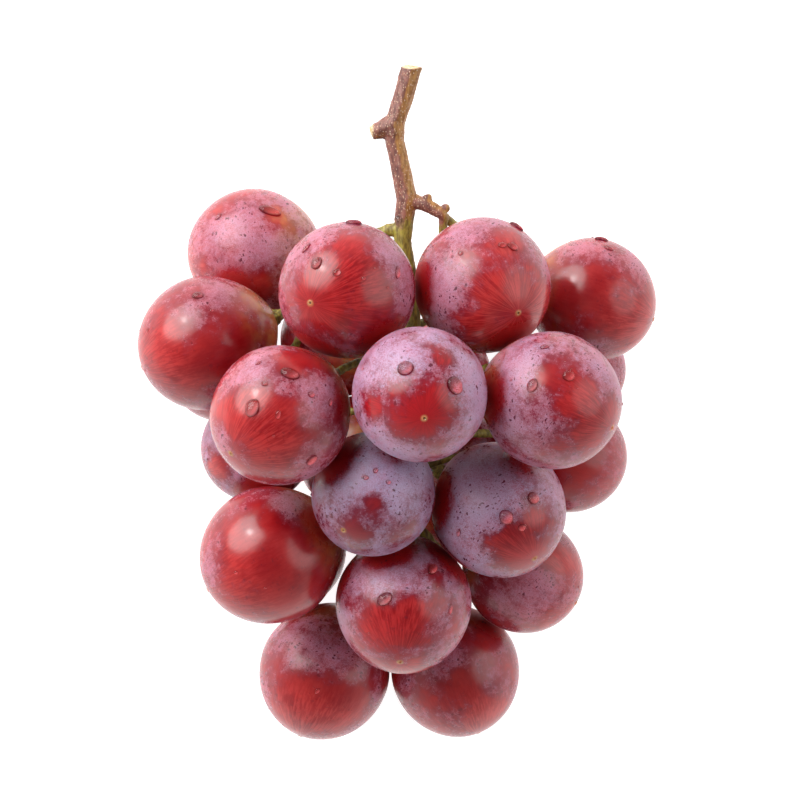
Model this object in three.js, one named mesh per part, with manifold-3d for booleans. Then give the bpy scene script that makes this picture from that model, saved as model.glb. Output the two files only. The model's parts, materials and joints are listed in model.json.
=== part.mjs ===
// A bunch of red table grapes, as cut, lying on its back on a flat surface.
//
// Millimetres, +Z up. The surface is z = 0, and the bunch lies along Y: its cut stem points to +Y, its
// tip to -Y, and its fuller face looks up. Each berry is one solid. The stem is one solid too, because
// it grew as one piece: the peduncle, the rachis, the side branches, and a pedicel for each berry.
//
// The bunch is a packing of soft balls, so its plan is written in berry widths. Each berry starts at its
// planned place, and settle() moves it until it clears its neighbours and the stem.
import * as THREE from "three";
import { mergeVertices } from "three/addons/utils/BufferGeometryUtils.js";
import Module from "manifold-3d";

const wasm = await Module();
wasm.setup();

// ---- Driving dimensions ----
const BERRY_WIDTH = 26.4; // across a berry of size 1
const BERRY_LENGTH = 28.0; // pole to pole of a berry of size 1
const BERRY_TAPER = 0.16; // how much a berry narrows towards its pedicel
const BERRY_GAP = 0.3; // clearance between neighbours
const FLOOR_PRESS = 0.5; // a resting berry is pressed flat by this much

const PEDUNCLE_LENGTH = 26.5; // from the first branch to the cut
const PEDUNCLE_DIAMETER = 4.1; // at the cut
const RACHIS_DIAMETER = 3.6; // at the first branch
const RACHIS_TIP_DIAMETER = 2.4;
const BRANCH_DIAMETER = 2.6;
const BRANCH_TIP_DIAMETER = 1.9;
const PEDICEL_DIAMETER = 1.6;
const RECEPTACLE_DIAMETER = 3.8; // the swollen seat of a berry on its pedicel
const RECEPTACLE_HEIGHT = 1.8;
const SEAT_GAP = 0.3; // clearance between a berry and the stem

const NODE_DIAMETER = 4.4; // the swollen joint on the peduncle
const NODE_SHARE = 0.5; // its place along the peduncle
const STUB_DIAMETER = 2.7; // the broken-off tendril on that joint
const STUB_LENGTH = 2.4;
const SCAR_DIAMETER = 1.5; // a bump left by a berry that dropped off

// ---- Mesh fineness ----
const BERRY_SIDES = 16;
const BERRY_RINGS = 10;
const STEM_SIDES = 8;
const STEM_STEP = 4.4; // the longest facet along the stem
const PEDICEL_SIDES = 6;

const RED = { color: 0x9c2b36, roughness: 0.35, metalness: 0 };
const ROSY = { color: 0xa8505c, roughness: 0.42, metalness: 0 };
const LILAC = { color: 0x8a5268, roughness: 0.5, metalness: 0 };
const BARK = { color: 0x8a6142, roughness: 0.75, metalness: 0 };

// ---- The plan, in berry widths ----
const PEDUNCLE_SWAY = [0, -0.05, -0.1, -0.03, 0.04]; // sideways, from the first branch to the cut
const PEDUNCLE_RISE = 0.08; // the cut end stands this much higher

const RACHIS = [
  [0.03, 1.51, 1.44],
  [0, 1.2, 1.4],
  [0.07, 0.75, 1.37],
  [0.06, 0.25, 1.47],
  [0.08, -0.3, 1.36],
  [0.1, -0.68, 1.2],
  [0.08, -1.0, 1.07],
];

const BRANCHES = {
  shoulder_right: [[0.05, 1.5, 1.44], [0.14, 1.475, 1.46], [0.22, 1.435, 1.48], [0.31, 1.385, 1.48]],
  shoulder_left: [[0.02, 1.28, 1.41], [-0.16, 1.26, 1.36], [-0.36, 1.14, 1.28], [-0.56, 0.96, 1.2]],
  tip_left: [[0.08, -0.98, 1.08], [-0.12, -1.14, 0.98], [-0.28, -1.34, 0.84], [-0.33, -1.52, 0.68]],
  tip_right: [[0.08, -0.98, 1.08], [0.24, -1.16, 1.0], [0.37, -1.38, 0.87], [0.36, -1.56, 0.68]],
};

// A berry: its centre, the way its blossom end points, its size against BERRY_WIDTH and BERRY_LENGTH,
// the branch that bears it and how far along, and its skin.
const berry = (at, tip, size, line, share, skin) => ({ at, tip, size, line, share, skin });

const HELD = {
  crown_left: berry([-0.38, 0.71, 2.12], [-0.49, -0.21, 0.85], 0.99, "rachis", 0.16, RED),
  crown_right: berry([0.56, 0.78, 1.9], [0.47, -0.42, 0.78], 1, "shoulder_right", 0.99, RED),
  shoulder_left: berry([-1.13, 1.06, 0.7], [-0.9, -0.1, -0.35], 1, "shoulder_left", 0.85, ROSY),
  shoulder_right: berry([1.43, 0.74, 1.05], [0.93, -0.3, 0.15], 0.95, "shoulder_right", 0.8, RED),
  left: berry([-1.47, 0.44, 1.34], [-0.93, -0.36, 0.1], 1.01, "shoulder_left", 1, RED),
  front_left: berry([-0.76, -0.11, 2.24], [-0.65, -0.52, 0.55], 1, "rachis", 0.42, RED),
  front: berry([0.11, 0.02, 2.56], [0.05, -0.33, 0.94], 0.96, "rachis", 0.46, LILAC),
  front_right: berry([1.03, 0.03, 2.22], [0.82, -0.38, 0.42], 0.99, "rachis", 0.5, RED),
  heart: berry([-0.17, -0.7, 1.84], [-0.45, -0.53, 0.72], 0.91, "rachis", 0.78, LILAC),
  waist_right: berry([0.66, -0.74, 1.5], [0.49, -0.67, 0.57], 1, "rachis", 0.82, LILAC),
  waist_left: berry([-0.95, -1.06, 1.44], [-0.87, -0.48, 0.12], 1.03, "rachis", 0.9, RED),
  lower_front: berry([0.01, -1.55, 1.44], [-0.05, -0.76, 0.65], 1.02, "rachis", 1, RED),
  lower_right: berry([0.92, -1.42, 0.74], [0.84, -0.45, 0.25], 0.91, "tip_right", 0.6, ROSY),
  back_right: berry([1.09, -0.47, 0.98], [0.9, -0.3, -0.2], 0.88, "rachis", 0.7, ROSY),
  back_left: berry([-1.05, -0.44, 0.95], [-0.85, -0.4, -0.3], 0.86, "rachis", 0.6, LILAC),
  core: berry([0.24, 0.17, 0.98], [0.1, 0.35, -0.93], 0.9, "rachis", 0.32, ROSY),
};

// These lie on the surface, under the others.
const RESTING = {
  tip_left: berry([-0.65, -2.01, 0.5], [-0.35, -0.93, 0.1], 1.03, "tip_left", 1, ROSY),
  tip_right: berry([0.48, -2.06, 0.5], [0.35, -0.93, 0.05], 1.01, "tip_right", 1, ROSY),
  under_side_left: berry([-1.28, 0.08, 0.5], [-0.85, 0.1, -0.5], 0.88, "shoulder_left", 0.95, RED),
  under_side_right: berry([1.2, 0.1, 0.5], [0.8, 0.15, -0.55], 0.8, "rachis", 0.52, ROSY),
  under_shoulder_left: berry([-0.66, 0.52, 0.5], [-0.5, 0.1, -0.86], 0.92, "rachis", 0.34, ROSY),
  under_shoulder_right: berry([0.7, 0.5, 0.5], [0.35, 0.25, -0.9], 0.94, "rachis", 0.38, RED),
  under_left: berry([-0.56, -0.42, 0.5], [-0.35, -0.1, -0.93], 0.92, "rachis", 0.62, RED),
  under_right: berry([0.45, -0.33, 0.5], [0.5, 0, -0.86], 0.88, "rachis", 0.66, LILAC),
  under_waist: berry([0.08, -1.2, 0.5], [0, -0.3, -0.95], 0.8, "rachis", 0.94, ROSY),
  under_tip_left: berry([-0.8, -1.3, 0.5], [-0.6, -0.3, -0.74], 0.9, "tip_left", 0.35, RED),
};
const LOOSE = 4; // how much further a resting berry gives way than a held one

const vector = ([x, y, z]) => new THREE.Vector3(x, y, z);
const planned = (place) => vector(place).multiplyScalar(BERRY_WIDTH);

// ---- Solids: a closed three.js geometry as a manifold-3d solid, and back ----
function solidOf(geometry) {
  const bare = geometry.clone();
  bare.deleteAttribute("normal");
  bare.deleteAttribute("uv");
  const merged = mergeVertices(bare, 1e-4);
  return new wasm.Manifold(
    new wasm.Mesh({
      numProp: 3,
      vertProperties: merged.attributes.position.array,
      triVerts: new Uint32Array(merged.index.array),
    }),
  );
}

function geometryOf(solid) {
  const { vertProperties, triVerts } = solid.getMesh();
  return new THREE.BufferGeometry()
    .setAttribute("position", new THREE.BufferAttribute(vertProperties, 3))
    .setIndex(new THREE.BufferAttribute(triVerts, 1));
}

const joined = (solids) => solids.reduce((all, solid) => all.add(solid));

// ---- Berries ----
// How far a berry reaches from its centre in a direction, as the spheroid that its taper stays inside.
function reach(berry, direction) {
  const along = Math.min(1, berry.tip.dot(direction) ** 2);
  const across = 1 - along;
  return (berry.size / 2) * Math.sqrt(BERRY_WIDTH ** 2 * across + BERRY_LENGTH ** 2 * along);
}

// A berry about its own centre, with its pedicel end towards +Y. grow makes it larger all over.
function berryGeometry(size, grow = 0) {
  const width = (size * BERRY_WIDTH) / 2 + grow;
  const length = (size * BERRY_LENGTH) / 2 + grow;
  const profile = [];
  for (let ring = 0; ring <= BERRY_RINGS; ring++) {
    const angle = (Math.PI * ring) / BERRY_RINGS;
    const height = -Math.cos(angle);
    const narrowing = 1 - BERRY_TAPER * Math.max(0, height) ** 2;
    const onAxis = ring === 0 || ring === BERRY_RINGS;
    profile.push(new THREE.Vector2(onAxis ? 0 : width * Math.sin(angle) * narrowing, length * height));
  }
  return new THREE.LatheGeometry(profile, BERRY_SIDES);
}

// Moves every berry until it clears its neighbours and the stem, and lays the lowest on the surface.
function settle(berries, stemLines) {
  const passes = 400;
  const between = new THREE.Vector3();
  const down = new THREE.Vector3(0, 0, -1);
  for (let pass = 0; pass < passes; pass++) {
    berries.forEach((a, i) => {
      for (const b of berries.slice(i + 1)) {
        between.subVectors(b.at, a.at);
        const apart = between.length();
        between.normalize();
        const lack = reach(a, between) + reach(b, between) + BERRY_GAP - apart;
        if (lack <= 0) continue;
        const share = a.give / (a.give + b.give);
        a.at.addScaledVector(between, -lack * share);
        b.at.addScaledVector(between, lack * (1 - share));
      }
      for (const { points, radius } of stemLines)
        for (const point of points) {
          between.subVectors(a.at, point);
          const apart = between.length();
          const lack = reach(a, between.normalize()) + radius + SEAT_GAP - apart;
          if (lack > 0) a.at.addScaledVector(between, lack);
        }
      if (a.rests) a.at.z = reach(a, down) - FLOOR_PRESS;
    });
  }
}

// ---- Stem ----
// A round tube along a curve, closed at both ends, with each ring drawn to its own radius.
function tube(curve, radiusAt, sides = STEM_SIDES) {
  const steps = Math.max(2, Math.ceil(curve.getLength() / STEM_STEP));
  const section = new THREE.Shape();
  for (let side = 0; side < sides; side++) {
    const angle = (2 * Math.PI * side) / sides;
    if (side) section.lineTo(Math.cos(angle), Math.sin(angle));
    else section.moveTo(1, 0);
  }
  const geometry = new THREE.ExtrudeGeometry(section, { steps, extrudePath: curve, bevelEnabled: false });
  const centres = curve.getSpacedPoints(steps);
  const position = geometry.attributes.position;
  const vertex = new THREE.Vector3();
  for (let i = 0; i < position.count; i++) {
    vertex.fromBufferAttribute(position, i);
    const away = centres.map((centre) => Math.abs(centre.distanceTo(vertex) - 1));
    const ring = away.indexOf(Math.min(...away));
    vertex.sub(centres[ring]).multiplyScalar(radiusAt(ring / steps)).add(centres[ring]);
    position.setXYZ(i, vertex.x, vertex.y, vertex.z);
  }
  return solidOf(geometry);
}

const tapering = (from, to) => (share) => THREE.MathUtils.lerp(from, to, share) / 2;

function ball(centre, diameter) {
  const geometry = new THREE.IcosahedronGeometry(diameter / 2, 1);
  return solidOf(geometry.translate(centre.x, centre.y, centre.z));
}

// Bends a line of points out of every berry but keeps its ends, so that it threads between them.
function threaded(points, radius, berries) {
  const passes = 60;
  const smoothing = 0.25;
  const away = new THREE.Vector3();
  for (let pass = 0; pass < passes; pass++)
    for (let i = 1; i < points.length - 1; i++) {
      const middle = points[i - 1].clone().add(points[i + 1]).multiplyScalar(0.5);
      points[i].lerp(middle, smoothing);
      for (const berry of berries) {
        away.subVectors(points[i], berry.at);
        const apart = away.length();
        const lack = reach(berry, away.normalize()) + radius + SEAT_GAP - apart;
        if (lack > 0) points[i].addScaledVector(away, lack);
      }
    }
  return points;
}

// The pedicel of one berry: out of its branch, and straight down onto the berry's own axis.
function pedicel(berry, lines, berries) {
  const root = lines[berry.line].curve.getPointAt(berry.share);
  const pole = berry.at.clone().addScaledVector(berry.tip, -reach(berry, berry.tip));
  const seat = pole.clone().addScaledVector(berry.tip, -RECEPTACLE_HEIGHT);
  const elbow = seat.clone().addScaledVector(berry.tip, -0.3 * root.distanceTo(seat));
  const route = new THREE.QuadraticBezierCurve3(root, elbow, seat).getPoints(6);
  const curve = new THREE.CatmullRomCurve3([...threaded(route, PEDICEL_DIAMETER / 2, berries), pole]);
  const receptacle = new THREE.CylinderGeometry(
    PEDICEL_DIAMETER / 2,
    RECEPTACLE_DIAMETER / 2,
    RECEPTACLE_HEIGHT,
    STEM_SIDES,
  );
  const up = new THREE.Vector3(0, 1, 0);
  const towardsStem = new THREE.Quaternion().setFromUnitVectors(up, berry.tip.clone().negate());
  const middle = pole.clone().addScaledVector(berry.tip, -RECEPTACLE_HEIGHT / 2);
  receptacle.applyQuaternion(towardsStem).translate(middle.x, middle.y, middle.z);
  return tube(curve, () => PEDICEL_DIAMETER / 2, PEDICEL_SIDES).add(solidOf(receptacle));
}

function stemLines() {
  const rachis = RACHIS.map(planned);
  const peduncle = PEDUNCLE_SWAY.map((sway, i) => {
    const share = i / (PEDUNCLE_SWAY.length - 1);
    const rise = share * PEDUNCLE_RISE;
    const place = new THREE.Vector3(sway * BERRY_WIDTH, share * PEDUNCLE_LENGTH, rise * BERRY_WIDTH);
    return place.add(rachis[0]);
  });
  const lines = {
    peduncle: { curve: new THREE.CatmullRomCurve3(peduncle), from: RACHIS_DIAMETER, to: PEDUNCLE_DIAMETER },
    rachis: { curve: new THREE.CatmullRomCurve3(rachis), from: RACHIS_DIAMETER, to: RACHIS_TIP_DIAMETER },
  };
  for (const [name, points] of Object.entries(BRANCHES))
    lines[name] = {
      curve: new THREE.CatmullRomCurve3(points.map(planned)),
      from: BRANCH_DIAMETER,
      to: BRANCH_TIP_DIAMETER,
    };
  return lines;
}

function stemGeometry(lines, berries) {
  const solids = Object.values(lines).map(({ curve, from, to }) => tube(curve, tapering(from, to)));
  for (const { curve, from } of Object.values(lines)) solids.push(ball(curve.getPoint(0), from * 1.05));

  const joint = lines.peduncle.curve.getPointAt(NODE_SHARE);
  const stubRoot = joint.clone().add(new THREE.Vector3(0, STUB_LENGTH / 2, 0));
  const stubEnd = joint.clone().add(new THREE.Vector3(-PEDUNCLE_DIAMETER / 2 - STUB_LENGTH, -0.4, 0.3));
  solids.push(ball(joint, NODE_DIAMETER));
  solids.push(tube(new THREE.LineCurve3(stubRoot, stubEnd), tapering(NODE_DIAMETER * 1.1, STUB_DIAMETER)));
  for (const share of [0.45, 1]) {
    const place = lines.shoulder_right.curve.getPointAt(share);
    solids.push(ball(place.add(new THREE.Vector3(0.4, BRANCH_DIAMETER / 2, 0)), SCAR_DIAMETER));
  }
  for (const berry of berries) solids.push(pedicel(berry, lines, berries));

  // Where the stem would meet a berry, it is cut back to the seat's clearance.
  const grown = berries.map((berry) => solidOf(placed(berryGeometry(berry.size, SEAT_GAP), berry)));
  return geometryOf(joined(solids).subtract(joined(grown)));
}

// ---- The bunch ----
const turned = (berry) =>
  new THREE.Quaternion().setFromUnitVectors(new THREE.Vector3(0, -1, 0), berry.tip);
const placed = (geometry, berry) =>
  geometry.applyQuaternion(turned(berry)).translate(berry.at.x, berry.at.y, berry.at.z);

// Presses a berry's lowest point flat, with the surface as a block in the berry's own frame.
function pressedFlat(geometry, berry) {
  const depth = BERRY_WIDTH;
  const block = new THREE.BoxGeometry(4 * depth, 4 * depth, depth);
  block.translate(berry.at.x, berry.at.y, -depth / 2);
  const toBerry = new THREE.Matrix4().compose(berry.at, turned(berry), new THREE.Vector3(1, 1, 1)).invert();
  return geometryOf(solidOf(geometry).subtract(solidOf(block.applyMatrix4(toBerry))));
}

function bunch() {
  const lines = stemLines();
  const berries = Object.entries({ ...HELD, ...RESTING }).map(([name, berry]) => ({
    ...berry,
    name: "berry_" + name,
    at: planned(berry.at),
    tip: vector(berry.tip).normalize(),
    rests: name in RESTING,
    give: name in RESTING ? LOOSE : 1,
  }));
  const obstacles = Object.values(lines).map(({ curve, from, to }) => ({
    points: curve.getSpacedPoints(Math.ceil(curve.getLength())),
    radius: Math.max(from, to) / 2,
  }));
  settle(berries, obstacles);

  const group = new THREE.Group();
  for (const berry of berries) {
    const whole = berryGeometry(berry.size);
    const geometry = berry.rests ? pressedFlat(whole, berry) : whole;
    const mesh = new THREE.Mesh(geometry, new THREE.MeshStandardMaterial(berry.skin));
    mesh.name = berry.name;
    mesh.position.copy(berry.at);
    mesh.quaternion.copy(turned(berry));
    group.add(mesh);
  }
  const stem = new THREE.Mesh(stemGeometry(lines, berries), new THREE.MeshStandardMaterial(BARK));
  stem.name = "stem";
  group.add(stem);

  // The origin is the middle of the surface under the bunch.
  group.updateMatrixWorld(true);
  const box = new THREE.Box3().setFromObject(group, true);
  const middle = box.getCenter(new THREE.Vector3());
  group.position.set(-middle.x, -middle.y, -box.min.z);
  return group;
}

export default bunch();
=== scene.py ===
"""The looks of a bunch of red table grapes that lies on a pale floor, seen from straight above."""

import json
import math
import random

import bmesh
import bpy
import numpy as np
from mathutils import Matrix, Vector, noise
from mathutils.bvhtree import BVHTree


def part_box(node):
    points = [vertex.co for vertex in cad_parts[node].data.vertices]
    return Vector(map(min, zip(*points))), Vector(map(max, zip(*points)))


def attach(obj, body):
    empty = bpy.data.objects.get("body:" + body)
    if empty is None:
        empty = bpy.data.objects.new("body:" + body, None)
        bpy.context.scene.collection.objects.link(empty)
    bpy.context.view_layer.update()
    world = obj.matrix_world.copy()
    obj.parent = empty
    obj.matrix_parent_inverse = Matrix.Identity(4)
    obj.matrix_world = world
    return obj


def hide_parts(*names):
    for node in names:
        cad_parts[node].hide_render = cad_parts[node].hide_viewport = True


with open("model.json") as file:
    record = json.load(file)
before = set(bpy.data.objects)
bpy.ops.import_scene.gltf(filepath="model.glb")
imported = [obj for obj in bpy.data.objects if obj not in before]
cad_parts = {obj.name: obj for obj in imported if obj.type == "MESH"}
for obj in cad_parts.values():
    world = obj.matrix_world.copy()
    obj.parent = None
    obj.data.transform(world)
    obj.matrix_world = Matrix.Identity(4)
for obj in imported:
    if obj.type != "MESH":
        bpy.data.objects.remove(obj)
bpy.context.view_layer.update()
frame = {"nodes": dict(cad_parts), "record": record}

MM = 0.001
UP = Vector((0, 0, 1))
WHITE = (1, 1, 1, 1)
BLACK = (0, 0, 0, 1)

# ---- Sizes ----
BERRY_STRETCH = 28.0 / 26.4  # a berry's length against its width
BERRY_TAPER = 0.16  # how much a berry narrows towards its pedicel
SWELL = 0.16 * MM  # a berry's skin stands this far outside its solid, so that neighbours touch
UNEVEN = 0.012  # how far a berry is from a true oval, against its radius
LUMPS = 1.1  # how many swellings there are along a berry's radius
BERRY_SIDES = 64
BODY_RINGS = 48
SCAR_RINGS = 12
SCAR_RADIUS = 0.36 * MM  # the ring that the flower left on a berry's tip
SCAR_RIDGE = 0.35 * SCAR_RADIUS  # half the width of that ring's ridge
SCAR_PIT = 0.6 * SCAR_RADIUS
SCAR_HEIGHT = 0.14 * MM
SEAT_RADIUS = 2.2 * MM  # the swelling round a berry's pedicel
SEAT_HEIGHT = 0.3 * MM
CROWDED_GAP = 6.5 * MM  # a neighbour nearer than this rubs the bloom off, and the skin there also gets painted shade: deep saturated red flesh
FAR_GAP = 12 * MM  # a berry further away than this is no neighbour


def berry_look(tip, bloom, tone, powdered=(), rubbed=()):
    return dict(tip=tip, bloom=bloom, tone=tone, powdered=powdered, rubbed=rubbed)


# ---- Berries ----
# tip: the way the blossom end points. bloom: how thick the powder lies, from 0 to 1. tone: flesh
# colour, from 0, deep red, to 1, rose. powdered, rubbed: places, seen from above, where the powder
# lies thick or is wiped off, as (x, y, radius) in the berry's own radius from its centre.
BERRIES = {
    "crown_left": berry_look(
        tip=(-0.49, -0.21, 0.85), bloom=0.42, tone=0.18,
        powdered=[(-0.75, 0.3, 0.35), (-0.5, -0.7, 0.35), (0.7, 0.45, 0.35)],
        rubbed=[(0.05, 0.62, 0.28), (0.2, 0.2, 0.3), (-0.3, -0.15, 0.3), (0.35, -0.2, 0.3)],
    ),
    "crown_right": berry_look(
        tip=(0.47, -0.42, 0.78), bloom=0.45, tone=0.4,
        powdered=[(-0.6, 0, 0.5), (-0.3, 0.7, 0.3)],
        rubbed=[(0.35, 0.6, 0.28), (0.25, -0.2, 0.3), (0.1, -0.65, 0.35), (0.75, -0.5, 0.25)],
    ),
    "shoulder_left": berry_look(
        tip=(-0.9, -0.1, -0.35), bloom=0.42, tone=0.8,
        powdered=[(-0.2, 0.1, 0.55), (-0.6, 0.3, 0.3), (0.2, -0.1, 0.4)],
        rubbed=[(0.12, -0.55, 0.25), (-0.75, -0.3, 0.12), (0.4, 0.55, 0.15)],
    ),
    "shoulder_right": berry_look(
        tip=(0.93, -0.3, 0.15), bloom=0.3, tone=0.35,
        powdered=[(-0.1, 0.8, 0.3), (0.7, 0.5, 0.3)],
        rubbed=[(0, 0.1, 0.35), (0.3, -0.3, 0.4), (-0.6, -0.1, 0.3)],
    ),
    "left": berry_look(
        tip=(-0.93, -0.36, 0.1), bloom=0.3, tone=0.3,
        powdered=[(0.3, -0.75, 0.3), (0.2, 0.75, 0.25)],
        rubbed=[(-0.55, -0.1, 0.35), (0, -0.3, 0.35), (0.6, -0.05, 0.3)],
    ),
    "front_left": berry_look(
        tip=(-0.65, -0.52, 0.55), bloom=0.4, tone=0.3,
        powdered=[(-0.2, 0.7, 0.3), (0.6, 0.3, 0.35), (-0.8, -0.3, 0.25)],
        rubbed=[(0.15, 0.75, 0.25), (0, -0.35, 0.4), (-0.5, 0.05, 0.3)],
    ),
    "front": berry_look(
        tip=(0.05, -0.33, 0.94), bloom=0.7, tone=0.05,
        powdered=[(-0.5, 0.5, 0.5), (0.8, 0.1, 0.35), (-0.3, -0.8, 0.35)],
        rubbed=[(0.05, -0.25, 0.42), (-0.7, -0.2, 0.2), (0.3, 0.5, 0.2)],
    ),
    "front_right": berry_look(
        tip=(0.82, -0.38, 0.42), bloom=0.55, tone=0.2,
        powdered=[(-0.5, 0.5, 0.4), (-0.6, -0.3, 0.35), (0.75, 0.3, 0.3)],
        rubbed=[(0.25, -0.05, 0.35), (0.5, -0.35, 0.3), (-0.1, 0.35, 0.2)],
    ),
    "heart": berry_look(
        tip=(-0.45, -0.53, 0.72), bloom=0.8, tone=0.1,
        powdered=[(0, 0.3, 0.6)],
        rubbed=[(0, -0.1, 0.2), (-0.3, -0.55, 0.25), (0.45, -0.55, 0.3)],
    ),
    "waist_right": berry_look(
        tip=(0.49, -0.67, 0.57), bloom=0.73, tone=0.2,
        powdered=[(-0.3, 0.2, 0.6)],
        rubbed=[(0.2, -0.55, 0.35), (0.55, -0.1, 0.25)],
    ),
    "waist_left": berry_look(
        tip=(-0.87, -0.48, 0.12), bloom=0.3, tone=0.3,
        powdered=[(0.3, 0.75, 0.3), (-0.8, -0.2, 0.25)],
        rubbed=[(-0.1, 0.1, 0.5), (0.3, -0.3, 0.5)],
    ),
    "lower_front": berry_look(
        tip=(-0.05, -0.76, 0.65), bloom=0.58, tone=0.2,
        powdered=[(-0.4, 0.45, 0.45), (0.3, 0.75, 0.4), (-0.85, -0.2, 0.2)],
        rubbed=[(0.1, -0.12, 0.35), (-0.35, -0.15, 0.3), (0.45, 0.5, 0.18), (0, -0.9, 0.35)],
    ),
    "back_right": berry_look(tip=(0.9, -0.3, -0.2), bloom=0.32, tone=0.35, rubbed=[(0.2, 0, 0.3)]),
    "back_left": berry_look(tip=(-0.85, -0.4, -0.3), bloom=0.7, tone=0.4, rubbed=[(-0.68, -0.35, 0.25)]),
    "core": berry_look(tip=(0.1, 0.35, -0.93), bloom=0.3, tone=0.3),
    "tip_left": berry_look(
        tip=(-0.35, -0.93, 0.1), bloom=0.4, tone=0.4,
        powdered=[(0.3, 0.4, 0.3)],
        rubbed=[(-0.3, -0.3, 0.45), (0.2, -0.5, 0.4)],
    ),
    "tip_right": berry_look(
        tip=(0.35, -0.93, 0.05), bloom=0.4, tone=0.4,
        powdered=[(-0.4, 0.3, 0.5)],
        rubbed=[(0.1, -0.1, 0.3), (0.5, -0.6, 0.3)],
    ),
    "lower_right": berry_look(
        tip=(0.84, -0.45, 0.25), bloom=0.36, tone=0.35,
        powdered=[(0.2, -0.2, 0.6)],
        rubbed=[(0.5, 0.3, 0.3)],
    ),
    "under_side_left": berry_look(tip=(-0.85, 0.1, -0.5), bloom=0.4, tone=0.4),
    "under_side_right": berry_look(tip=(0.8, 0.15, -0.55), bloom=0.5, tone=0.5),
    "under_shoulder_left": berry_look(tip=(-0.5, 0.1, -0.86), bloom=0.3, tone=0.8),
    "under_shoulder_right": berry_look(tip=(0.35, 0.25, -0.9), bloom=0.4, tone=0.4),
    "under_left": berry_look(tip=(-0.35, -0.1, -0.93), bloom=0.3, tone=0.3),
    "under_right": berry_look(tip=(0.5, 0, -0.86), bloom=0.6, tone=0.6),
    "under_waist": berry_look(tip=(0, -0.3, -0.95), bloom=0.3, tone=0.6),
    "under_tip_left": berry_look(tip=(-0.6, -0.3, -0.74), bloom=0.4, tone=0.4),
}

def material(name):
    """A new material and its main shader."""
    made = bpy.data.materials.new(name)
    made.use_nodes = True
    return made, made.node_tree.nodes["Principled BSDF"]


def finish_piece(name, mesh, slot, *stands_for):
    """A new piece from a mesh that is in place, riding on the bunch."""
    piece = bpy.data.objects.new(name, mesh)
    bpy.context.collection.objects.link(piece)
    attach(piece, "root")
    if stands_for:
        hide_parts(*stands_for)
    return piece


def smooth_mesh(name, shell):
    """A mesh of this finished round shape."""
    for face in shell.faces:
        face.smooth = True
    mesh = bpy.data.meshes.new(name)
    shell.to_mesh(mesh)
    shell.free()
    return mesh


def add_attribute(mesh, name, kind, values):
    layer = mesh.attributes.new(name, kind, "POINT")
    field = "vector" if kind == "FLOAT_VECTOR" else "value"
    layer.data.foreach_set(field, np.asarray(values, np.float32).ravel())


def smoothstep(low, high, value):
    share = np.clip((value - low) / (high - low), 0, 1)
    return share * share * (3 - 2 * share)


# ---- Berry shapes ----
def measure(name, tip):
    """A berry's centre, axis, radius and half length, from its solid. Its pedicel end is always whole."""
    points = np.array([v.co for v in frame["nodes"]["berry_" + name].data.vertices])
    axis = np.array(Vector(tip).normalized())
    along = points @ axis
    pole = points[along.argmin()]
    out = points - pole
    radius = np.linalg.norm(out - np.outer(out @ axis, axis), axis=1).max()
    half = radius * BERRY_STRETCH
    return dict(centre=pole + axis * half, axis=axis, radius=radius, half=half)


shapes = {name: measure(name, look["tip"]) for name, look in BERRIES.items()}


def reach(shape, directions):
    """How far a berry's skin is from its centre in each of these directions."""
    along = (directions @ shape["axis"]) ** 2
    return np.sqrt((shape["radius"] + SWELL) ** 2 * (1 - along) + (shape["half"] + SWELL) ** 2 * along)


def berry_profile(shape):
    """Half of a berry's outline, from its tip to its pedicel end, as (distance from the axis, height)."""
    radius = shape["radius"] + SWELL
    half = shape["half"] + SWELL
    scar_edge = 2 * SCAR_RADIUS / radius
    angles = [scar_edge * i / SCAR_RINGS for i in range(SCAR_RINGS)]
    angles += [scar_edge + (math.pi - scar_edge) * i / BODY_RINGS for i in range(BODY_RINGS + 1)]
    points = []
    for angle in angles:
        narrowing = 1 - BERRY_TAPER * max(0, -math.cos(angle)) ** 2
        out = radius * math.sin(angle) * narrowing
        height = half * math.cos(angle)
        if angle < math.pi / 2:
            ring = math.exp(-(((out - SCAR_RADIUS) / SCAR_RIDGE) ** 2))
            pit = math.exp(-((out / SCAR_PIT) ** 2))
            height += SCAR_HEIGHT * (ring - pit)
        else:
            height -= SEAT_HEIGHT * math.exp(-((out / SEAT_RADIUS) ** 2))
        points.append((out if 0 < angle < math.pi else 0, height))
    points[-1] = (0, points[-1][1])
    return points


def berry_shell(name):
    """A berry's skin, standing at the origin with its tip up."""
    shell = bmesh.new()
    outline = [shell.verts.new((out, 0, height)) for out, height in berry_profile(shapes[name])]
    edges = [shell.edges.new(pair) for pair in zip(outline, outline[1:])]
    bmesh.ops.spin(
        shell,
        geom=outline + edges,
        cent=(0, 0, 0),
        axis=UP,
        angle=math.tau,
        steps=BERRY_SIDES,
        use_merge=True,
    )
    bmesh.ops.remove_doubles(shell, verts=shell.verts, dist=1e-7)
    bmesh.ops.recalc_face_normals(shell, faces=shell.faces)
    return smooth_mesh("berry_" + name, shell)


def neighbours(name):
    """Each berry near this one, with the way to it and how far that way the two meet."""
    shape = shapes[name]
    for other_name, other in shapes.items():
        if other_name == name:
            continue
        between = other["centre"] - shape["centre"]
        apart = np.linalg.norm(between)
        between /= apart
        here = reach(shape, between[None])[0]
        there = reach(other, between[None])[0]
        if apart <= here + there + FAR_GAP:
            yield other, between, apart * here / (here + there)


def settle(name, points):
    """Press a berry flat on its neighbours and the surface, and say how crowded each point is."""
    crowding = np.zeros(len(points))
    for other, between, meeting in neighbours(name):
        past = (points - shapes[name]["centre"]) @ between - meeting
        points -= np.outer(np.maximum(past, 0), between)
        away = points - other["centre"]
        distance = np.linalg.norm(away, axis=1)
        gap = distance - reach(other, away / distance[:, None])
        crowding = np.maximum(crowding, 1 - smoothstep(0, CROWDED_GAP, gap))
    points[:, 2] = np.maximum(points[:, 2], 0)
    return crowding


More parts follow.
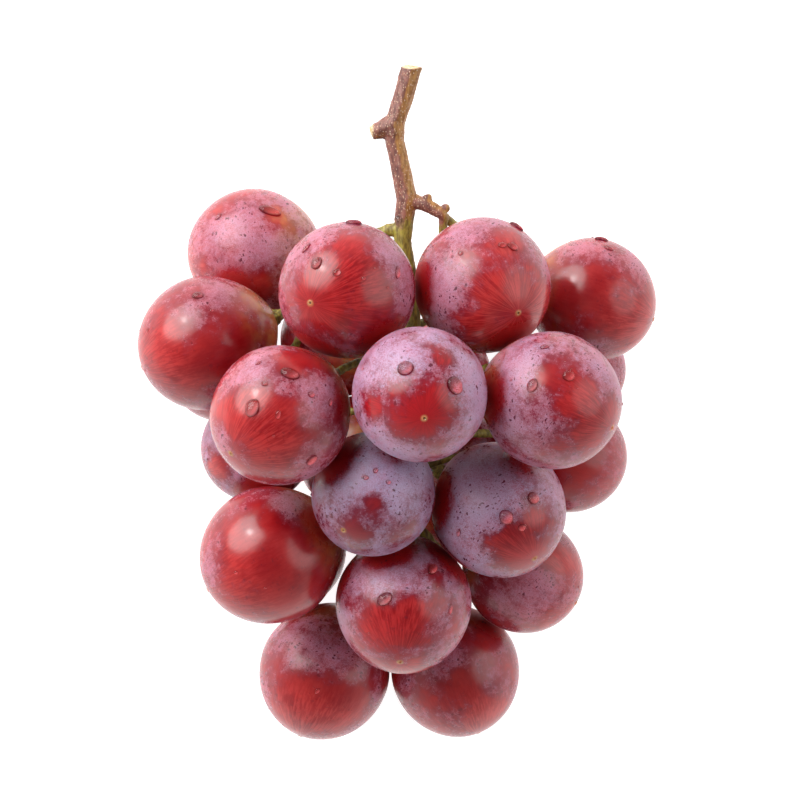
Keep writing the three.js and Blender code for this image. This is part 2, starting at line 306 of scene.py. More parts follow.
def spots(seen, places):
    """How far each point is inside any of these soft round places, from 0 to 1."""
    inside = np.zeros(len(seen))
    for x, y, size in places:
        spot = np.array((x, y, math.sqrt(max(0, 1 - x * x - y * y))))
        inside = np.maximum(inside, np.exp(-(((seen - spot) ** 2).sum(1) / size**2)))
    return inside


def berry_mesh(name, seed):
    """A berry's skin in its place, with the masks that its material reads."""
    shape = shapes[name]
    mesh = berry_shell(name)
    own = np.array([v.co for v in mesh.vertices])
    place = own / (shape["radius"] + SWELL)
    lumps = np.array([noise.noise(Vector(p) * LUMPS + Vector((seed, 0, 0))) for p in place])
    own *= (1 + UNEVEN * lumps)[:, None]
    turn = UP.rotation_difference(Vector(shape["axis"])).to_matrix()
    world = own @ np.array(turn).T + shape["centre"]
    crowding = settle(name, world)
    mesh.vertices.foreach_set("co", world.astype(np.float32).ravel())
    mesh.update()

    seen = (world - shape["centre"]) / shape["radius"]
    add_attribute(mesh, "place", "FLOAT_VECTOR", place)
    add_attribute(mesh, "crowding", "FLOAT", crowding)
    for layer in ("powdered", "rubbed"):
        add_attribute(mesh, layer, "FLOAT", spots(seen, BERRIES[name][layer]))
    return mesh


# ---- Shader groups ----
class Maker:
    """Short ways to add and join nodes in one node tree."""

    def __init__(self, tree):
        self.tree = tree

    def put(self, socket, value):
        if isinstance(value, bpy.types.NodeSocket):
            self.tree.links.new(value, socket)
        elif value is not None:
            socket.default_value = value

    def node(self, kind, **settings):
        made = self.tree.nodes.new("ShaderNode" + kind)
        for name, value in settings.items():
            setattr(made, name, value)
        return made

    def attribute(self, name, output="Fac"):
        return self.node("Attribute", attribute_name=name).outputs[output]

    def math(self, operation, a, b=None, clamp=False):
        made = self.node("Math", operation=operation, use_clamp=clamp)
        self.put(made.inputs[0], a)
        self.put(made.inputs[1], b)
        return made.outputs[0]

    def plus(self, a, b, clamp=False):
        return self.math("ADD", a, b, clamp)

    def minus(self, a, b):
        return self.math("SUBTRACT", a, b)

    def times(self, a, b, clamp=False):
        return self.math("MULTIPLY", a, b, clamp)

    def rest(self, share):
        """What this share leaves of 1."""
        return self.minus(1.0, share)

    def swing(self, value, strength):
        """A noise's swing to either side of its middle."""
        return self.times(self.minus(value, 0.5), strength)

    def vector(self, operation, a, b=None):
        made = self.node("VectorMath", operation=operation)
        self.put(made.inputs[0], a)
        self.put(made.inputs["Scale" if operation == "SCALE" else 1], b)
        return made.outputs["Value" if operation == "LENGTH" else "Vector"]

    def ramp(self, value, low, high, to_low=0.0, to_high=1.0):
        """Smoothly from to_low at low to to_high at high."""
        made = self.node("MapRange", interpolation_type="SMOOTHSTEP")
        self.put(made.inputs["Value"], value)
        self.put(made.inputs["From Min"], low)
        self.put(made.inputs["From Max"], high)
        self.put(made.inputs["To Min"], to_low)
        self.put(made.inputs["To Max"], to_high)
        return made.outputs["Result"]

    def noise(self, vector, scale, detail=3.0, roughness=0.55, output="Fac"):
        made = self.node("TexNoise")
        self.put(made.inputs["Vector"], vector)
        self.put(made.inputs["Scale"], scale)
        self.put(made.inputs["Detail"], detail)
        self.put(made.inputs["Roughness"], roughness)
        return made.outputs[output]

    def cells(self, vector, scale):
        made = self.node("TexVoronoi", feature="F1")
        self.put(made.inputs["Vector"], vector)
        self.put(made.inputs["Scale"], scale)
        return made.outputs

    def mix(self, share, a, b):
        made = self.node("Mix", data_type="RGBA")
        self.put(made.inputs[0], share)
        self.put(made.inputs[6], a)
        self.put(made.inputs[7], b)
        return made.outputs[2]

    def bump(self, surface, height, strength, depth):
        """Put a relief of this depth on a shader."""
        made = self.node("Bump")
        self.put(made.inputs["Strength"], strength)
        self.put(made.inputs["Distance"], depth)
        self.put(made.inputs["Height"], height)
        self.put(surface.inputs["Normal"], made.outputs["Normal"])


def settings(surface, **values):
    """Set a shader's own sockets. An underscore in a name stands for a space."""
    for name, value in values.items():
        surface.inputs[name.replace("_", " ")].default_value = value


def group(name, inputs, outputs):
    """A shader node group with these named sockets, and its maker, given values and results."""
    tree = bpy.data.node_groups.new(name, "ShaderNodeTree")
    for socket, kind, value in inputs:
        made = tree.interface.new_socket(socket, in_out="INPUT", socket_type="NodeSocket" + kind)
        if value is not None:
            made.default_value = value
    for socket, kind in outputs:
        tree.interface.new_socket(socket, in_out="OUTPUT", socket_type="NodeSocket" + kind)
    start = tree.nodes.new("NodeGroupInput")
    end = tree.nodes.new("NodeGroupOutput")
    return tree, Maker(tree), start.outputs, end.inputs


# ---- Grape skin ----
# Pairs are for a tone of 0 and of 1, and for the powder a bloom of 0 and of 1.
DEEP_FLESH = ((0.2, 0.0, 0.003, 1), (0.4, 0.006, 0.012, 1))
PALE_FLESH = ((0.4, 0.002, 0.008, 1), (0.66, 0.09, 0.075, 1))
UNRIPE = (0.62, 0.27, 0.08, 1)  # round the pedicel
PURPLE = (0.12, 0.008, 0.02, 1)  # bare skin on the most powdery berries
PRESSED_AND_SHADED = (0.34, 0.0, 0.001, 1)  # where a neighbour is close: partly real rubbing, mostly painted shade, the saturated red that flesh shows in the shade between berries
BRUISED = (0.16, 0.005, 0.022, 1)  # at the edges of the bloom
SPECK = (0.07, 0.002, 0.012, 1)
POWDER = ((0.66, 0.24, 0.32, 1), (0.35, 0.34, 0.53, 1))
SCAR = (0.5, 0.27, 0.09, 1)
SCAR_HOLE = (0.04, 0.012, 0.008, 1)

# How many ripples each pattern has along a berry's radius.
CLOUDS = 1.6
BLOTCHES = 2.5
FIBRES = 8.0
WOBBLE = 4.0
PATCHES = 1.5
RAGS = 6.0
CRUMBS = 22.0
GRAIN = 70.0
SPECK_CROWDS = 3.0
SPECK_DRIFT = 14.0
SPECKS = ((10.0, 0.3), (19.0, 0.36))  # with the size of the largest, against their spacing


def red_flesh(make, given, moved, height, fibres):
    """Clouded flesh, streaked towards its tip and unripe round its pedicel."""
    deep = make.mix(given["Tone"], *DEEP_FLESH)
    pale = make.mix(given["Tone"], *PALE_FLESH)
    clouds = make.ramp(make.noise(moved, CLOUDS, 4.0), 0.36, 0.64)
    near_tip = make.ramp(height, 0.1, 0.85)
    streaks = make.times(fibres, make.plus(0.15, make.times(near_tip, 0.75)))
    lightness = make.plus(streaks, make.times(clouds, 0.5), clamp=True)
    flesh = make.mix(lightness, deep, pale)
    blotches = make.ramp(make.noise(moved, BLOTCHES), 0.3, 0.6)
    unripe = make.times(make.ramp(height, -0.4, -1.02), blotches)
    flesh = make.mix(make.times(unripe, 0.85), flesh, UNRIPE)
    purple = make.ramp(given["Bloom"], 0.68, 0.84, 0.0, 0.65)
    return make.mix(purple, flesh, PURPLE)


def streaks_from_scar(make, seed, flat, height):
    """Streaks that run from the scar up the berry, as fibres in the flesh do."""
    climb = make.node("CombineXYZ")
    make.put(climb.inputs[0], seed)
    make.put(climb.inputs[2], make.times(height, 0.8))
    around = make.vector("SCALE", make.vector("NORMALIZE", flat), 3.2)
    fibres_at = make.vector("ADD", around, climb.outputs[0])
    return make.ramp(make.noise(fibres_at, FIBRES, 5.0, 0.65), 0.41, 0.62)


def bloom_thickness(make, given, moved, height):
    """Thicker in large patches and powdered places, thinner where it is rubbed and at the tip."""
    level = make.minus(make.times(given["Bloom"], 0.4), 0.2)
    thick = make.plus(make.noise(moved, PATCHES, 4.0, 0.62), level)
    thick = make.plus(thick, make.times(given["Powdered"], 0.26))
    thick = make.minus(thick, make.times(given["Rubbed"], 0.45))
    return make.minus(thick, make.times(make.ramp(height, 0.6, 1.0), 0.12))


def dark_specks(make, moved):
    """Small breaks in the powder, gathered in some places."""
    drift = make.noise(moved, SPECK_DRIFT, 2.0, 0.5, "Color")
    astray = make.vector("SCALE", make.vector("SUBTRACT", drift, (0.5, 0.5, 0.5)), 0.1)
    specked_at = make.vector("ADD", make.vector("MULTIPLY", moved, (1, 1, 1.5)), astray)
    some = make.ramp(make.noise(moved, SPECK_CROWDS, 2.0), 0.42, 0.6)
    both = []
    for scale, size in SPECKS:
        cells = make.cells(specked_at, scale)
        chance = make.node("SeparateColor")
        make.put(chance.inputs[0], cells["Color"])
        radius = make.times(make.ramp(chance.outputs[0], 0.35, 1.0), size)
        both.append(make.math("LESS_THAN", cells["Distance"], radius))
    return make.times(make.math("MAXIMUM", *both), some)


def skin_group():
    """Grape skin: streaked flesh under a powdery bloom that is specked, and rubbed off in places; near
    neighbours the flesh is painted deep red as painted shade.
    """
    inputs = [
        ("Place", "Vector", None),
        ("Crowding", "Float", 0.0),
        ("Powdered", "Float", 0.0),
        ("Rubbed", "Float", 0.0),
        ("Seed", "Float", 0.0),
        ("Bloom", "Float", 0.5),
        ("Tone", "Float", 0.4),
    ]
    outputs = [("Color", "Color"), ("Roughness", "Float"), ("Height", "Float")]
    tree, make, given, result = group("grape_skin", inputs, outputs)
    shift = make.node("CombineXYZ")
    make.put(shift.inputs[0], given["Seed"])
    make.put(shift.inputs[1], given["Seed"])
    moved = make.vector("ADD", given["Place"], shift.outputs[0])
    parts = make.node("SeparateXYZ")
    make.put(parts.inputs[0], given["Place"])
    height = parts.outputs["Z"]
    flat = make.vector("MULTIPLY", given["Place"], (1, 1, 0))
    fibres = streaks_from_scar(make, given["Seed"], flat, height)
    flesh = red_flesh(make, given, moved, height, fibres)

    # Where a neighbour is close, the bloom is rubbed off and the flesh is painted deep saturated red, as
    # painted shade for the shade between berries that reaches further than they touch.
    crumbs = make.noise(moved, CRUMBS, 6.0, 0.75)
    wobble = make.swing(make.noise(moved, WOBBLE, 4.0), 0.5)
    crowded = make.plus(make.plus(given["Crowding"], wobble), make.swing(crumbs, 0.5))
    pressed_and_shaded = make.ramp(crowded, 0.5, 0.95)
    bare_and_shaded = make.ramp(crowded, 0.25, 0.75)
    flesh = make.mix(make.times(pressed_and_shaded, 0.85), flesh, PRESSED_AND_SHADED)

    # The bloom: patches that break up at their edges, a thin veil between them, powder grain over
    # both, and bruised flesh where it is broken.
    rags = make.noise(moved, RAGS, 4.0, 0.65)
    ragged = make.swing(rags, 0.5)
    grain = make.noise(moved, GRAIN, 2.0, 0.6)
    crumbled = make.minus(make.plus(crumbs, make.times(grain, 0.5)), 0.75)
    thick = bloom_thickness(make, given, moved, height)
    thin = make.plus(thick, make.times(ragged, 0.7))
    veil = make.ramp(thin, 0.3, 0.62)
    patch = make.ramp(make.plus(make.plus(thick, ragged), crumbled), 0.4, 0.84)
    bruised = make.times(make.ramp(thin, 0.2, 0.44), make.ramp(rags, 0.36, 0.56, 1.0, 0.55))
    bruised = make.times(bruised, make.plus(0.3, make.times(given["Bloom"], 0.8)), clamp=True)
    bruised = make.times(bruised, make.rest(make.times(patch, 0.5)))
    bruised = make.times(bruised, make.rest(pressed_and_shaded))
    flesh = make.mix(bruised, flesh, BRUISED)
    cover = make.plus(make.times(veil, 0.26), make.times(patch, 0.46))
    cover = make.times(cover, make.plus(0.55, make.times(given["Bloom"], 0.75)))
    cover = make.times(cover, make.ramp(grain, 0.3, 0.7, 0.7, 1.25))
    cover = make.times(cover, make.rest(bare_and_shaded), clamp=True)

    specks = dark_specks(make, moved)
    cover = make.times(cover, make.rest(make.times(specks, 0.85)))
    shown = make.times(specks, make.plus(0.3, make.times(veil, 0.6)))
    flesh = make.mix(shown, flesh, SPECK)

    from_scar = make.vector("LENGTH", flat)
    on_tip = make.math("GREATER_THAN", height, 0.0)
    scar = make.times(make.ramp(from_scar, 0.02, 0.07, 1.0, 0.0), on_tip)
    hole = make.times(make.ramp(from_scar, 0.008, 0.022, 1.0, 0.0), on_tip)
    color = make.mix(cover, flesh, make.mix(given["Bloom"], *POWDER))
    color = make.mix(make.times(scar, 0.8), color, SCAR)
    make.put(result["Color"], make.mix(make.times(hole, 0.9), color, SCAR_HOLE))

    powdery = make.ramp(cover, 0.0, 0.5, 0.22, 0.45)
    make.put(result["Roughness"], make.math("MAXIMUM", powdery, make.times(pressed_and_shaded, 0.6)))
    fine = make.times(grain, make.plus(0.25, patch))
    make.put(result["Height"], make.plus(fine, make.times(fibres, 0.3)))
    return tree


def skin_material(name, look, seed, skin):
    """The skin of one berry, with light that goes some way into its flesh."""
    made, surface = material("skin_" + name)
    make = Maker(made.node_tree)
    pattern = make.node("Group", node_tree=skin)
    make.put(pattern.inputs["Place"], make.attribute("place", "Vector"))
    for layer in ("crowding", "powdered", "rubbed"):
        make.put(pattern.inputs[layer.capitalize()], make.attribute(layer))
    settings(pattern, Seed=seed, Bloom=look["bloom"], Tone=look["tone"])
    make.put(surface.inputs["Base Color"], pattern.outputs["Color"])
    make.put(surface.inputs["Roughness"], pattern.outputs["Roughness"])
    make.bump(surface, pattern.outputs["Height"], 0.25, 0.05 * MM)
    settings(surface, Subsurface_Weight=0.85, Subsurface_Radius=(1.0, 0.07, 0.06))
    settings(surface, Subsurface_Scale=7 * MM, IOR=1.42, Specular_IOR_Level=0.7)
    settings(surface, Sheen_Weight=0.03, Sheen_Roughness=0.35, Sheen_Tint=(0.85, 0.75, 0.95, 1))
    return made


# ---- Stem ----
STEM_VOXEL = 0.28 * MM
STEM_SOFTENING = 9  # rounds of smoothing
CUT_SLANT = 0.4  # the knife went through the stem this much aslant
WOODY_LENGTH = 27 * MM  # from the cut down to where the stem is green
FORK_LENGTH = 7 * MM  # the stem is swollen this far to each side of its first fork
SEAT_NEAR = 1.2 * MM  # a pedicel is warty this near to its berry
SEAT_FAR = 3.5 * MM

# Each bark colour in its furrows and on its ridges.
PURPLE_BARK = ((0.12, 0.038, 0.03, 1), (0.27, 0.105, 0.075, 1))
GOLDEN_BARK = ((0.22, 0.085, 0.015, 1), (0.42, 0.2, 0.05, 1))
GREEN_BARK = ((0.13, 0.09, 0.01, 1), (0.34, 0.28, 0.04, 1))
CUT_WOOD = ((0.46, 0.3, 0.13, 1), (0.82, 0.66, 0.4, 1))
WART = (0.12, 0.075, 0.012, 1)
PORE = (0.62, 0.44, 0.3, 1)


def smooth_stem():
    """The stem's solid, made smooth where its tubes join."""
    solid = frame["nodes"]["stem"].data.copy()
    solid.materials.clear()
    weld = bmesh.new()
    weld.from_mesh(solid)
    bmesh.ops.remove_doubles(weld, verts=weld.verts, dist=1e-6)
    weld.to_mesh(solid)
    weld.free()
    rough = bpy.data.objects.new("stem_rough", solid)
    bpy.context.collection.objects.link(rough)
    remesh = rough.modifiers.new("even", "REMESH")
    remesh.mode = "VOXEL"
    remesh.voxel_size = STEM_VOXEL
    smooth = rough.modifiers.new("soften", "SMOOTH")
    smooth.iterations = STEM_SOFTENING
    shown = rough.evaluated_get(bpy.context.evaluated_depsgraph_get())
    mesh = bpy.data.meshes.new_from_object(shown)
    mesh.name = "stem"
    bpy.data.objects.remove(rough)
    return mesh


def knife_cut(places, cut_end):
    """Slice the top of the stem off aslant, and say which points are on the cut wood."""
    tip = places[:, 1] > cut_end - 2 * MM
    middle = (places[tip].min(0) + places[tip].max(0)) / 2
    thickness = np.ptp(places[tip][:, 2])
    knife = cut_end - CUT_SLANT * (places[:, 2] - middle[2] + thickness / 2)
    beyond = tip & (places[:, 1] > knife)
    places[beyond, 1] = knife[beyond]
    from_middle = np.hypot(places[:, 0] - middle[0], places[:, 2] - middle[2])
    inside = 1 - smoothstep(0.36 * thickness, 0.46 * thickness, from_middle)
    return np.where(beyond, inside, 0)


def stem_mesh():
    """The smooth stem with its ridges, warts and cut faces."""
    mesh = smooth_stem()
    places = np.array([v.co for v in mesh.vertices])
    normals = np.array([v.normal for v in mesh.vertices])
    poles = np.array([s["centre"] - s["axis"] * s["half"] for s in shapes.values()])
    seat = np.min(np.linalg.norm(places[:, None] - poles[None], axis=2), axis=1)
    seat = 1 - smoothstep(SEAT_NEAR, SEAT_FAR, seat)
    cut_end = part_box("stem")[1].y
    shoulder = cut_end - WOODY_LENGTH
    woody = smoothstep(shoulder - 8 * MM, shoulder - 1 * MM, places[:, 1])

    ridges = np.array([noise.noise(Vector((1100 * x, 160 * y, 1100 * z))) for x, y, z in places])
    warts = np.array([noise.noise(Vector(p) * 1900) for p in places])
    fork = np.exp(-(((places[:, 1] - shoulder) / FORK_LENGTH) ** 2))
    push = 0.12 + 0.2 * fork + 0.14 * ridges + 0.06 * warts + 0.3 * seat * warts
    places += normals * (push * MM)[:, None]
    cut = knife_cut(places, cut_end)

    # The torn end of the tendril at the fork.
    upper = places[:, 1] > shoulder + 3 * MM
    stub_end = places[upper][:, 0].min()
    torn = smoothstep(1.0 * MM, 0.5 * MM, places[:, 0] - stub_end + 0.4 * MM * warts)
    cut = np.maximum(cut, np.where(upper, torn, 0))

    mesh.vertices.foreach_set("co", places.astype(np.float32).ravel())
    for polygon in mesh.polygons:
        polygon.use_smooth = True
    mesh.update()
    sunny = smoothstep(-0.5, 0.7, normals[:, 0])
    for layer, values in dict(woody=woody, seat=seat, cut=cut, sunny=sunny).items():
        add_attribute(mesh, layer, "FLOAT", values)
    return mesh


def bark_material():
    """Purple-brown bark with pale pores, golden on one side and green lower down."""
    made, surface = material("bark")
    make = Maker(made.node_tree)
    where = make.node("TexCoord").outputs["Object"]
    layers = {name: make.attribute(name) for name in ("woody", "seat", "cut", "sunny")}
    fibres = make.noise(make.vector("MULTIPLY", where, (1, 0.3, 1)), 1400.0, 4.0, 0.6)
    patches = make.noise(where, 330.0, 4.0, 0.6)
    speckle = make.noise(where, 1700.0, 3.0, 0.6)
    uneven = make.swing(patches, 1.6)

    ridge = make.ramp(fibres, 0.35, 0.65)
    sunny = make.ramp(make.plus(layers["sunny"], make.times(uneven, 0.6)), 0.3, 0.8)
    brown = make.mix(sunny, make.mix(ridge, *PURPLE_BARK), make.mix(ridge, *GOLDEN_BARK))
    woody = make.minus(layers["woody"], make.times(sunny, 0.3))
    ripe = make.ramp(make.plus(woody, uneven), 0.1, 0.6)
    color = make.mix(ripe, make.mix(ridge, *GREEN_BARK), brown)
    warty = make.times(layers["seat"], make.ramp(speckle, 0.42, 0.58))
    color = make.mix(warty, color, WART)

    pores = make.cells(make.vector("MULTIPLY", where, (1, 0.6, 1)), 2500.0)
    pore = make.times(make.ramp(pores["Distance"], 0.2, 0.32, 1.0, 0.0), layers["woody"])
    some = make.ramp(patches, 0.35, 0.6, 0.25, 0.9)
    color = make.mix(make.times(pore, some), color, PORE)
    color = make.mix(layers["cut"], color, make.mix(make.ramp(speckle, 0.4, 0.6), *CUT_WOOD))

    make.put(surface.inputs["Base Color"], color)
    make.put(surface.inputs["Roughness"], make.ramp(fibres, 0.3, 0.7, 0.65, 0.42))
    make.bump(surface, make.plus(fibres, make.times(pore, 0.4)), 0.6, 0.15 * MM)
    settings(surface, Subsurface_Weight=0.15, Subsurface_Scale=1 * MM)
    return made


# ---- Water ----
# Each drop: its place on the berry, seen from above, as (x, y) in the berry's own radius from its
# centre, then half its length and width in mm, and its turn in degrees.
DROPS = {
    "shoulder_left": [(0.28, 0.6, 2.4, 1.2, -8), (-0.52, 0.5, 0.9, 0.5, 30)],
    "crown_left": [
        (-0.41, 0.33, 1.3, 1.05, 60), (-0.13, 0.2, 0.85, 0.75, 0), (0.09, 0.96, 1.6, 1.0, 0),
        (0.73, 0.23, 1.4, 0.6, 85), (-0.57, 0.56, 1.2, 0.6, 40), (0.24, 0.12, 0.5, 0.4, 20),
    ],
    "crown_right": [
        (0.5, 0.84, 1.6, 0.9, -25), (-0.33, 0.41, 0.55, 0.5, 0), (0.26, 0.52, 0.9, 0.7, 20),
        (0.41, 0.5, 1.1, 0.9, -20),
    ],
    "shoulder_right": [(0.16, 0.95, 1.4, 0.8, -5), (0.25, 0.79, 1.0, 0.7, -20)],
    "left": [(-0.1, 0.67, 1.2, 0.85, -10), (0.12, 0.45, 0.4, 0.35, 0)],
    "front_left": [
        (-0.35, 0.09, 1.8, 1.4, 70), (0.16, 0.57, 1.9, 1.2, -15), (-0.19, 0.43, 0.7, 0.6, 0),
        (0.46, 0.28, 0.7, 0.65, 0), (0.72, 0.17, 0.8, 0.45, 80), (0, 0, 0.9, 0.55, 80),
        (0.45, -0.64, 1.3, 0.9, 35), (-0.29, 0.72, 0.7, 0.4, 20),
    ],
    "front": [(-0.21, 0.35, 1.55, 1.45, 0), (0.47, 0.11, 1.8, 1.55, -60)],
    "front_right": [(-0.3, 0.2, 1.4, 1.0, 60), (0.21, 0.33, 1.2, 1.1, 0), (-0.11, 0.75, 0.9, 0.6, 0)],
    "heart": [(0.03, 0.38, 0.6, 0.5, 70), (-0.12, 0.27, 0.6, 0.5, 0), (0.23, 0.2, 0.5, 0.5, 0)],
    "waist_right": [
        (0.08, -0.08, 1.55, 1.35, -50), (0.47, 0.18, 1.3, 1.2, 0), (0.3, -0.23, 0.85, 0.7, 0),
        (-0.6, -0.32, 0.9, 0.5, 75),
    ],
    "waist_left": [(-0.45, -0.2, 0.5, 0.4, 0)],
    "lower_front": [(-0.27, 0.13, 1.7, 1.2, 30), (0.42, 0.54, 1.4, 0.9, 60), (0.67, -0.03, 1.1, 0.5, 80)],
    "tip_left": [(-0.08, -0.2, 0.7, 0.5, 45)],
}
DROP_HEIGHT = 0.7  # of half a drop's width
DROP_UNEVEN = 0.09  # how far a drop is from round, against its radius
DROP_EDGE = (0.78, 0.97)  # from where to where across a drop its edge is painted darker red, as painted shade for the dark rim of a real drop
LIT_SIDE = Vector((0.6, -0.65, 0.2))  # the side where a drop's painted light is brightest, in place of the light a real drop gathers from its other side
LIT_PART = (-0.2, 0.75)  # from where to where towards that side the painted light grows bright
ROUND_DROP = 3  # how often a large drop's faces are divided
TINY_DROP = 1
SPRAY = 12  # tiny drops on each berry
SPRAY_SIZES = (0.16 * MM, 0.38 * MM)
SPRAY_ROOM = 1 * MM  # a tiny drop stays this far from other berries
SPRAY_LEVEL = 3 * MM  # and this far above the surface
STEM_DROP_DOWN = 31 * MM  # from the cut
# The tint of wetted flesh under a drop, which at the drop's rim is also painted shade.
WET_FLESH_AND_RIM_SHADE = (0.16, 0.0, 0.01, 1)
# The colour of the painted light that a drop emits, in place of light it gathers.
PAINTED_GLOW = (0.8, 0.12, 0.13, 1)


def standing(normal, turn):
    """The turn that stands a drop on this normal, with its length this far from the +X side."""
    along = Vector((1, 0, 0)) if abs(normal.x) < 0.95 else Vector((0, 1, 0))
    along = (along - normal * normal.dot(along)).normalized()
    stand = Matrix((along, normal.cross(along), normal)).transposed().to_4x4()
    return stand @ Matrix.Rotation(turn, 4, "Z")


def add_drop(shell, place, normal, length, width, turn, divided, redness=1.0):
    """A dome of water, half sunk into what it sits on."""
    ball = bmesh.ops.create_icosphere(shell, subdivisions=divided, radius=1)["verts"]
    wet_and_rim_shade = shell.verts.layers.float["wet_and_rim_shade"]
    painted_glow = shell.verts.layers.float["painted_glow"]
    stand = standing(normal, turn)
    # Painted light: each drop emits light, brightest on its side away from the lamps, in place of the
    # light a real drop gathers.
    gathered = stand.to_3x3().transposed() @ LIT_SIDE
    for vert in ball:
        # A drop's tint: wetted flesh, painted darker red towards the rim as painted shade.
        edge = float(smoothstep(*DROP_EDGE, math.hypot(vert.co.x, vert.co.y)))
        lit = float(smoothstep(*LIT_PART, vert.co.dot(gathered)))
        vert[wet_and_rim_shade] = redness * (0.4 + 0.6 * edge)
        vert[painted_glow] = redness * (0.12 + 0.88 * lit) * (1 - edge)
        vert.co *= 1 + DROP_UNEVEN * noise.noise(vert.co * 1.2 + place * 4000)
    spread = Matrix.Diagonal((length, width, DROP_HEIGHT * width, 1))
    bmesh.ops.transform(shell, matrix=Matrix.Translation(place) @ stand @ spread, verts=ball)


def on_skin(tree, centre, x, y, z):
    """The place on a berry's skin in this direction from its centre, and the way out."""
    out = Vector((x, y, z)).normalized()
    place, normal, _, _ = tree.ray_cast(centre, out)
    return place, normal if normal.dot(out) > 0 else -normal


def add_berry_drops(shell, name, mesh, chance):
    """The large drops on a berry, and a spray of tiny ones where it is open to the air."""
    tree = BVHTree.FromPolygons([v.co for v in mesh.vertices], [p.vertices for p in mesh.polygons])
    centre = Vector(shapes[name]["centre"])
    for x, y, length, width, turn in DROPS.get(name, []):
        z = math.sqrt(max(0.01, 1 - x * x - y * y))
        place, normal = on_skin(tree, centre, x, y, z)
        add_drop(shell, place, normal, length * MM, width * MM, math.radians(turn), ROUND_DROP)
    others = [shape for other, shape in shapes.items() if other != name]
    for _ in range(SPRAY):
        x, y, z = (chance.gauss(0, 1) for _ in "xyz")
        size = chance.uniform(*SPRAY_SIZES)
        place, normal = on_skin(tree, centre, x, y, z)
        room = min((place - Vector(other["centre"])).length - other["half"] for other in others)
        if room > SPRAY_ROOM and place.z > SPRAY_LEVEL:
            add_drop(shell, place, normal, size, size * chance.uniform(0.7, 1), 0, TINY_DROP)


def add_stem_drop(shell, stem):
    """One drop hangs on the stem just below its first branch."""
    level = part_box("stem")[1].y - STEM_DROP_DOWN
    side = Vector((-0.6, 0, 0.8))
    around = [v for v in stem.vertices if abs(v.co.y - level) < 0.3 * MM]
    spot = max(around, key=lambda v: v.co.dot(side))
    add_drop(shell, spot.co, side, 0.9 * MM, 0.7 * MM, 0, ROUND_DROP, redness=0)


def water_mesh(skins, stem):
    shell = bmesh.new()
    shell.verts.layers.float.new("wet_and_rim_shade")
    shell.verts.layers.float.new("painted_glow")
    chance = random.Random(11)
    for name, mesh in skins.items():
        add_berry_drops(shell, name, mesh, chance)
    add_stem_drop(shell, stem)
    return smooth_mesh("water", shell)


def water_material():
    """Water on flesh it wets: a drop is painted dark red at its edge as painted shade, and emits painted
    light where a real drop would gather the light.
    """
    made, surface = material("water")
    # Painted light: the emission lights up each drop where a real one would gather the light.
    settings(surface, Roughness=0.02, IOR=1.33, Transmission_Weight=1, Emission_Strength=0.45)
    make = Maker(made.node_tree)
    make.put(surface.inputs["Base Color"], make.mix(make.attribute("wet_and_rim_shade"), WHITE, WET_FLESH_AND_RIM_SHADE))
    painted_glow = make.mix(make.attribute("painted_glow"), BLACK, PAINTED_GLOW)
    make.put(surface.inputs["Emission Color"], painted_glow)
    ripples = make.noise(make.node("TexCoord").outputs["Object"], 900.0, 1.0)
    make.bump(surface, ripples, 0.1, 0.05 * MM)
    return made


# ---- Floor, light and camera ----
FLOOR_REACH = 3  # metres to each side
FLOOR_LEVEL = -0.2 * MM
MIDDLE = 40 * MM  # the height that the lights and the camera are set from
LIGHT_DISTANCE = 0.9
# Each light: the way to it, its width in metres and its power in watts.
LIGHTS = {
    "key": ((-0.62, 0.56, 0.55), 0.95, 12.5),
    "fill": ((0.75, 0.1, 0.5), 0.9, 3),
    "glint": ((-0.55, 0.6, 0.6), 0.06, 1),
}
ROOM_BRIGHTNESS = (0.9, 0.22)  # at the level of the surface, and overhead
VIEW_WIDTH = 160 * MM
CAMERA_DISTANCE = 480 * MM
CAMERA_ASIDE = (0.2 * MM, 1.95 * MM)
SENSOR_WIDTH = 36


def floor():
    """A plain pale floor that glows a little, so that shadows on it are faint."""
    sheet = bmesh.new()
    bmesh.ops.create_grid(sheet, x_segments=1, y_segments=1, size=FLOOR_REACH)
    mesh = bpy.data.meshes.new("floor")
    sheet.to_mesh(mesh)
    sheet.free()
    mesh.transform(Matrix.Translation((0, 0, FLOOR_LEVEL)))
    piece = bpy.data.objects.new("floor", mesh)
    bpy.context.collection.objects.link(piece)
    made, surface = material("pale_floor")
    settings(surface, Base_Color=(0.5, 0.5, 0.5, 1), Roughness=0.9, Specular_IOR_Level=0.1)
    settings(surface, Emission_Color=WHITE, Emission_Strength=0.9)
    mesh.materials.append(made)


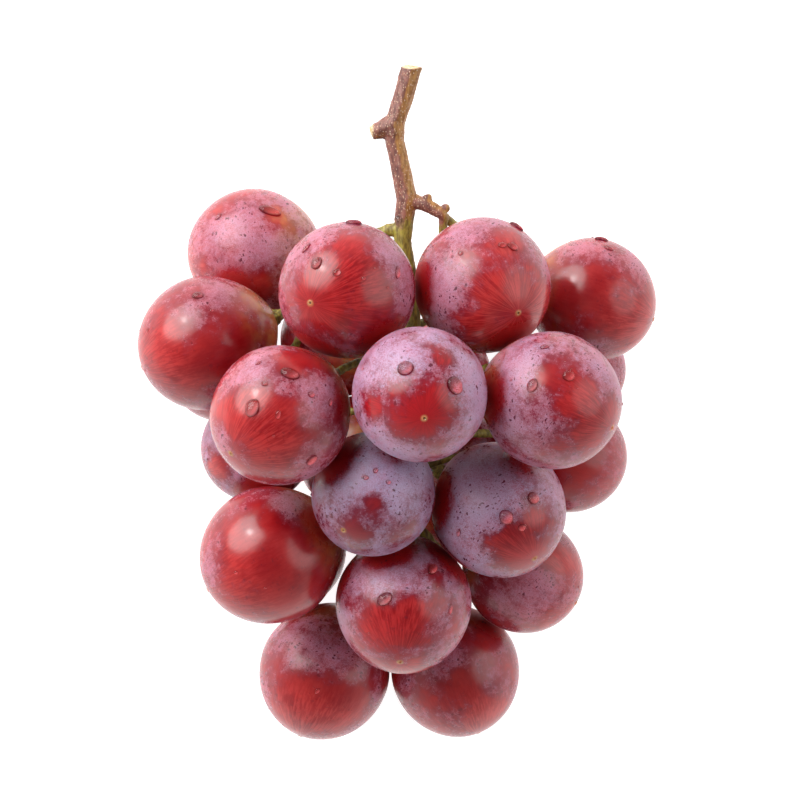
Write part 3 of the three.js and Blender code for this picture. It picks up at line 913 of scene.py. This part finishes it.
def area_light(name, direction, size, power):
    data = bpy.data.lights.new(name, "AREA")
    data.shape = "DISK"
    data.size = size
    data.energy = power
    lamp = bpy.data.objects.new(name, data)
    bpy.context.collection.objects.link(lamp)
    way = Vector(direction).normalized()
    lamp.location = way * LIGHT_DISTANCE + Vector((0, 0, MIDDLE))
    lamp.rotation_euler = way.to_track_quat("Z", "Y").to_euler()


def light():
    """Three lamps in a room that is bright all round and dim overhead."""
    world = bpy.data.worlds.new("studio")
    world.use_nodes = True
    make = Maker(world.node_tree)
    parts = make.node("SeparateXYZ")
    make.put(parts.inputs[0], make.node("TexCoord").outputs["Generated"])
    room = world.node_tree.nodes["Background"]
    settings(room, Color=WHITE)
    make.put(room.inputs["Strength"], make.ramp(parts.outputs["Z"], 0.0, 0.9, *ROOM_BRIGHTNESS))
    bpy.context.scene.world = world
    for name, (direction, size, power) in LIGHTS.items():
        area_light(name, direction, size, power)


def camera():
    data = bpy.data.cameras.new("camera")
    data.sensor_width = SENSOR_WIDTH
    data.lens = data.sensor_width * CAMERA_DISTANCE / VIEW_WIDTH
    data.clip_start = 0.01
    seen_from = bpy.data.objects.new("camera", data)
    bpy.context.collection.objects.link(seen_from)
    seen_from.location = (*CAMERA_ASIDE, MIDDLE + CAMERA_DISTANCE)
    bpy.context.scene.camera = seen_from


# ---- The bunch ----
SEED_STEP = 3.7  # from one berry's patterns to the next berry's

slots = {part["node"]: part["material_slot"] for part in frame["record"]["subparts"]}
skin = skin_group()
skins = {}
for number, (name, look) in enumerate(BERRIES.items()):
    seed = SEED_STEP * number
    skins[name] = berry_mesh(name, seed)
    skins[name].materials.append(skin_material(name, look, seed, skin))
    finish_piece("grape_" + name, skins[name], slots["berry_" + name], "berry_" + name)

stem = stem_mesh()
stem.materials.append(bark_material())
finish_piece("stalk", stem, "bark", "stem")

water = water_mesh(skins, stem)
water.materials.append(water_material())
finish_piece("water_drops", water, "water")

floor()
light()
camera()
bpy.context.scene.view_settings.view_transform = "Standard"
